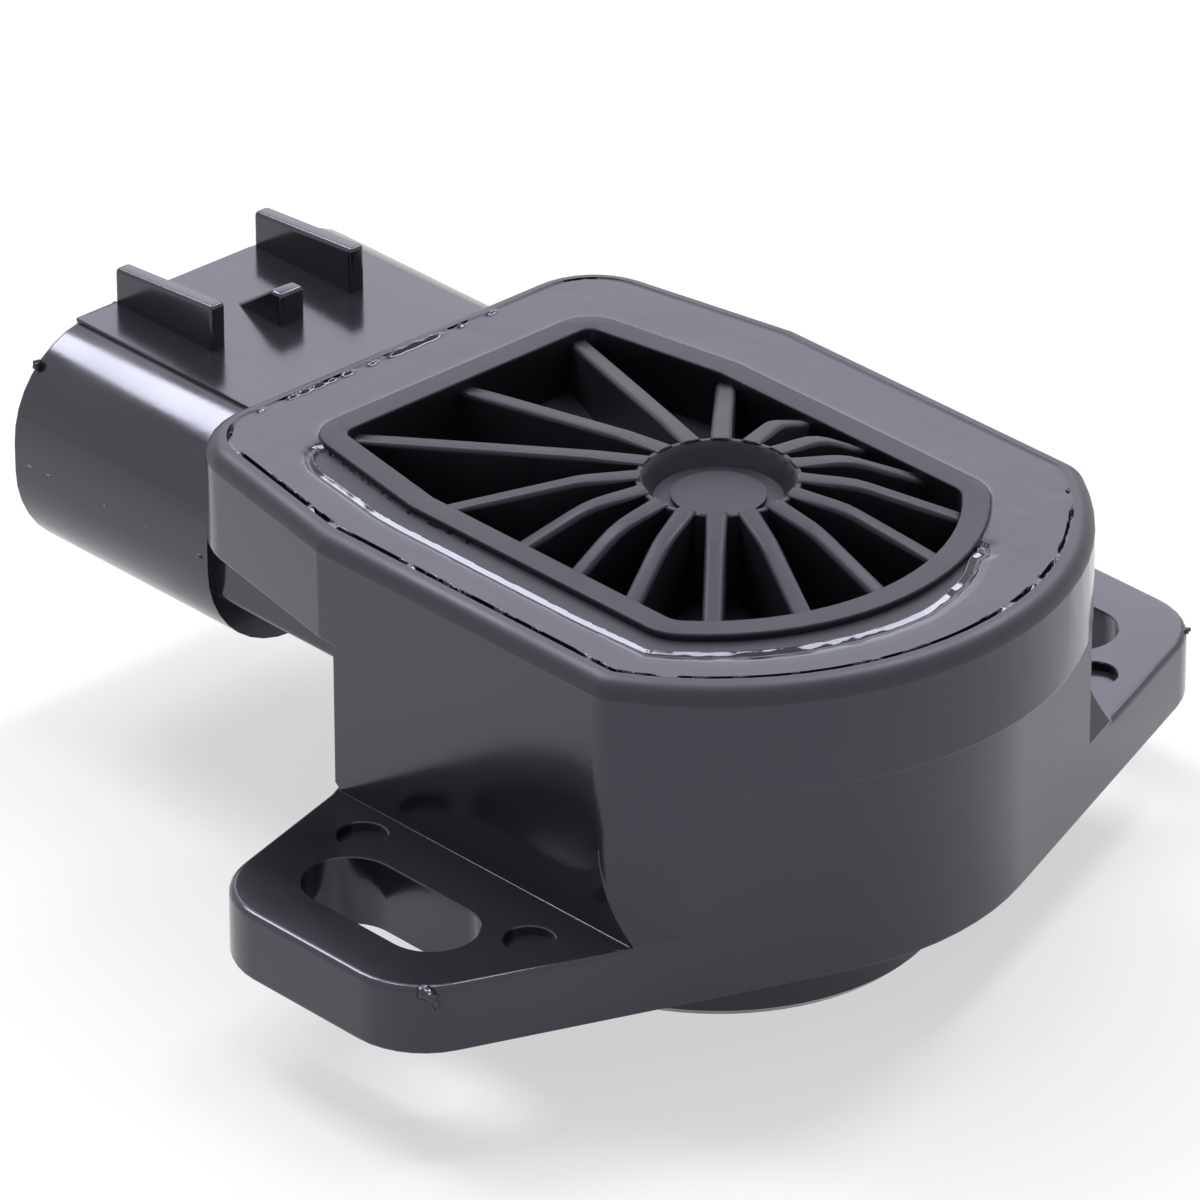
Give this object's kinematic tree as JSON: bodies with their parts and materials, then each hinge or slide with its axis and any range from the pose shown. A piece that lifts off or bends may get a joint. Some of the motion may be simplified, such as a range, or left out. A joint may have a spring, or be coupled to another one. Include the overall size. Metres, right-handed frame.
{
  "type": "throttle position sensor",
  "caption": "Rotary throttle position sensor: black moulded housing with slotted mounting ears, locating spigot, ribbed potted cover and connector shroud; sprung rotor inside.",
  "frame": {"origin": "on the rotor's axis, at the mounting face where the spigot leaves it", "axes": "+Z along the rotor's axis from the spigot to the cover; +X from the connector to the round front; +Y to the ear on the far side"},
  "size_m": [0.066, 0.0628, 0.0276],
  "materials": {
    "housing_pbt": "glossy black glass-filled polyester, injection moulded",
    "cover_pbt": "satin black polyester, injection moulded",
    "potting_epoxy": "poured black epoxy, cured to a wet gloss",
    "rotor_pps": "natural glass-filled plastic, injection moulded",
    "washer_ptfe": "punched white low-friction sheet",
    "seal_rubber": "moulded black nitrile rubber",
    "spring_steel": "drawn and formed spring steel",
    "brush_alloy": "punched spring alloy, bright",
    "board_ceramic": "fired off-white ceramic board",
    "resistor_ink": "printed and fired resistive ink",
    "silver_ink": "printed and fired silver conductor",
    "tin_plated_brass": "stamped brass, tin plated",
    "tin_plated_bronze": "stamped spring bronze, tin plated"
  },
  "bodies": {
    "sensor": {"housing": "housing_pbt", "cover": "cover_pbt", "potting_seal": "potting_epoxy", "thrust_washer": "washer_ptfe", "shaft_seal": "seal_rubber", "spigot_o_ring": "seal_rubber", "return_spring": "spring_steel", "track_board": "board_ceramic", "resistor_track": "resistor_ink", "collector_ring": "silver_ink", "idle_track": "silver_ink", "terminal_supply": "tin_plated_brass", "terminal_signal": "tin_plated_brass", "terminal_idle": "tin_plated_brass", "terminal_ground": "tin_plated_brass", "clip_supply": "tin_plated_bronze", "clip_signal": "tin_plated_bronze", "clip_idle": "tin_plated_bronze", "clip_ground": "tin_plated_bronze"},
    "rotor_unit": {"rotor": "rotor_pps", "drive_clip": "spring_steel", "signal_brush": "brush_alloy", "idle_brush": "brush_alloy"}
  },
  "joints": [
    {"name": "rotor_turn", "type": "hinge", "parent": "sensor", "child": "rotor_unit", "pos_m": [0, 0, 0], "axis": [0, 0, 1], "range_deg": [0, 105], "stiffness_Nm_per_rad": 0.02, "springref_deg": -28.65, "deforming": ["return_spring"]}
  ]
}
